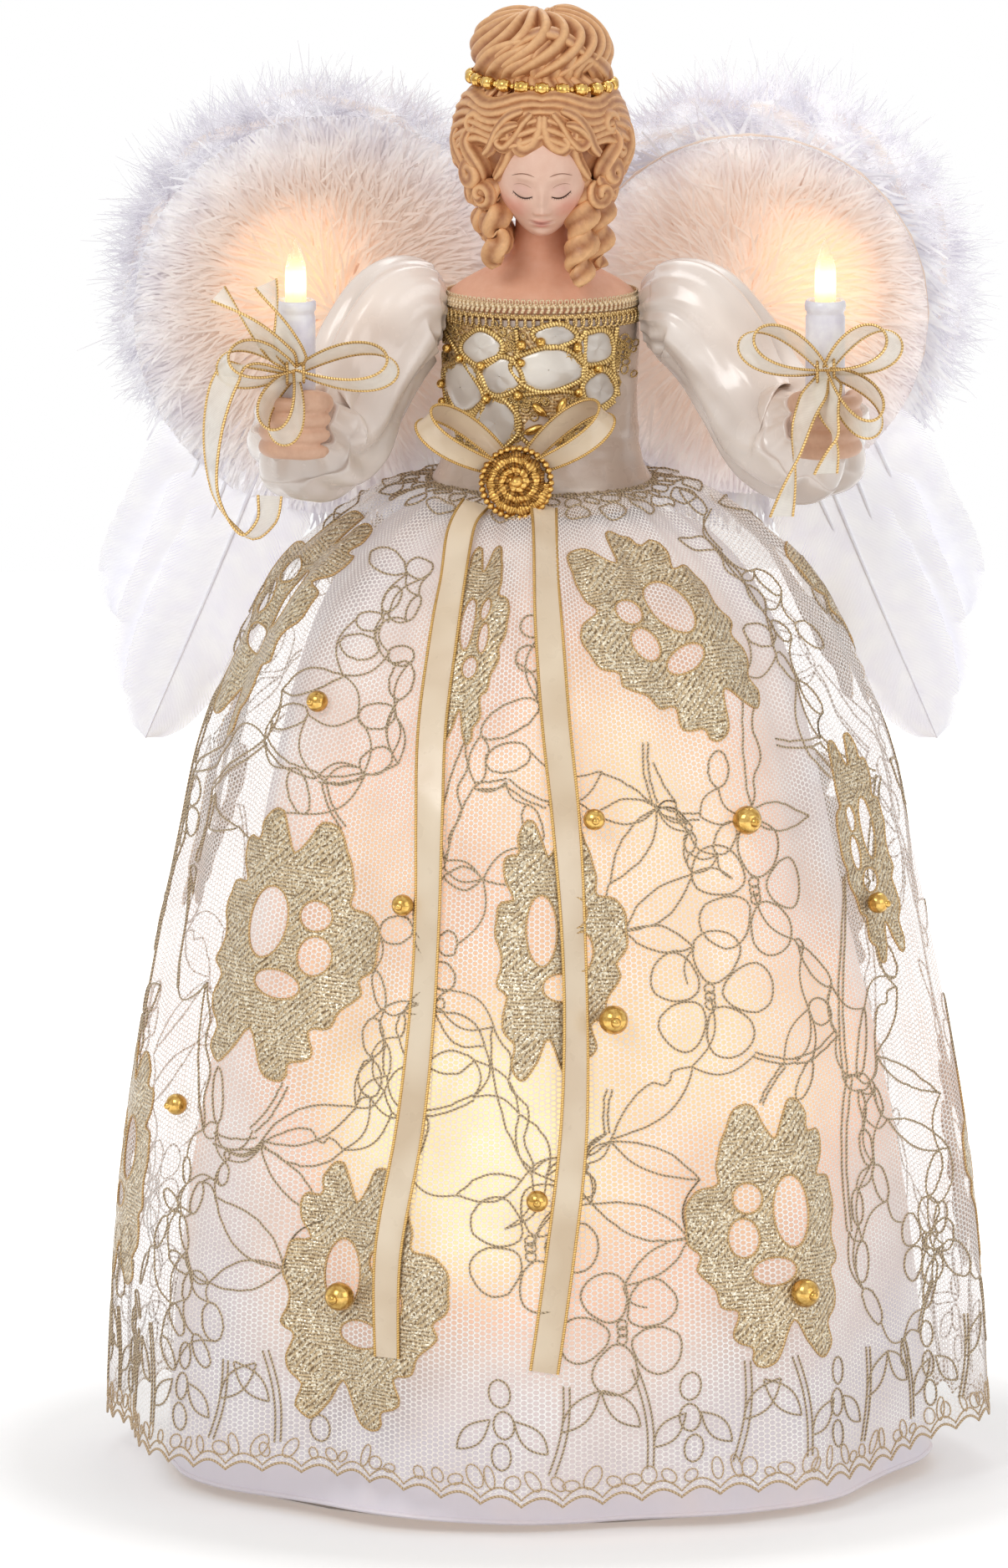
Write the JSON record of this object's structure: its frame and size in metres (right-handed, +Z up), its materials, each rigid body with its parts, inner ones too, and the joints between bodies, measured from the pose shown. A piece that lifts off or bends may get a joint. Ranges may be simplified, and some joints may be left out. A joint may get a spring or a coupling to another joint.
{
  "type": "angel tree topper",
  "caption": "Lighted angel for the top of a tree: a lace gown over a hollow cone, feather wings, and a small electric candle in each raised hand.",
  "frame": {"origin": "on the axis of the tree cone, at the underside of its base rim", "axes": "+Z up along the cone's axis, -Y towards the front of the angel, +X towards the viewer's right"},
  "size_m": [0.2454, 0.2431, 0.406],
  "materials": {
    "frosted_plastic": "frosted",
    "white_plastic": "smooth",
    "clear_glass": "clear, warm lit filament",
    "wire_cover": "smooth",
    "steel_wire": "drawn",
    "painted_resin": "hand painted, matt",
    "ivory_satin": "satin weave",
    "ivory_lace": "embroidered net",
    "gold_trim": "metallic cord",
    "gold_bead": "metallised",
    "ivory_ribbon": "satin",
    "organza": "sheer, gold edged",
    "white_card": "smooth",
    "white_feather": "soft barbs"
  },
  "bodies": {
    "figure": {"tree_cone": "frosted_plastic", "light_socket_1": "white_plastic", "light_socket_2": "white_plastic", "light_socket_3": "white_plastic", "light_socket_4": "white_plastic", "light_socket_5": "white_plastic", "light_socket_6": "white_plastic", "light_socket_7": "white_plastic", "light_socket_8": "white_plastic", "light_bulb_1": "clear_glass", "light_bulb_2": "clear_glass", "light_bulb_3": "clear_glass", "light_bulb_4": "clear_glass", "light_bulb_5": "clear_glass", "light_bulb_6": "clear_glass", "light_bulb_7": "clear_glass", "light_bulb_8": "clear_glass", "light_wire": "wire_cover", "torso_core": "white_plastic", "bust": "painted_resin", "headband": "gold_bead", "bodice": "ivory_satin", "neckline_braid": "gold_trim", "bodice_applique": "gold_trim", "underskirt": "ivory_satin", "lace_overskirt": "ivory_lace", "skirt_bead_1": "gold_bead", "skirt_bead_2": "gold_bead", "skirt_bead_3": "gold_bead", "skirt_bead_4": "gold_bead", "skirt_bead_5": "gold_bead", "skirt_bead_6": "gold_bead", "skirt_bead_7": "gold_bead", "skirt_bead_8": "gold_bead", "skirt_bead_9": "gold_bead", "skirt_bead_10": "gold_bead", "waist_bow": "ivory_ribbon", "rosette": "gold_trim", "wing_bracket": "white_plastic", "wing_plate_right": "white_card", "wing_plate_left": "white_card", "wing_feathers_right": "white_feather", "wing_feathers_left": "white_feather", "wing_fluff_right": "white_feather", "wing_fluff_left": "white_feather"},
    "arm_left": {"arm_wire_left": "steel_wire", "sleeve_left": "ivory_satin", "hand_left": "painted_resin", "candle_sleeve_left": "white_plastic", "candle_socket_left": "white_plastic", "hand_bow_left": "organza"},
    "arm_right": {"arm_wire_right": "steel_wire", "sleeve_right": "ivory_satin", "hand_right": "painted_resin", "candle_sleeve_right": "white_plastic", "candle_socket_right": "white_plastic", "hand_bow_right": "organza"},
    "candle_bulb_left": {"candle_bulb_left": "clear_glass"},
    "candle_bulb_right": {"candle_bulb_right": "clear_glass"}
  },
  "joints": [
    {"name": "arm_left_lift", "type": "hinge", "parent": "figure", "child": "arm_left", "pos_m": [-0.0282, 0, 0.32], "axis": [0, 1, 0], "range_deg": [0, 25]},
    {"name": "arm_right_lift", "type": "hinge", "parent": "figure", "child": "arm_right", "pos_m": [0.0282, 0, 0.32], "axis": [0, -1, 0], "range_deg": [0, 25]},
    {"name": "candle_bulb_left_pull", "type": "slide", "parent": "arm_left", "child": "candle_bulb_left", "axis": [0, 0, 1], "range_m": [0, 0.03]},
    {"name": "candle_bulb_right_pull", "type": "slide", "parent": "arm_right", "child": "candle_bulb_right", "axis": [0, 0, 1], "range_m": [0, 0.03]}
  ]
}
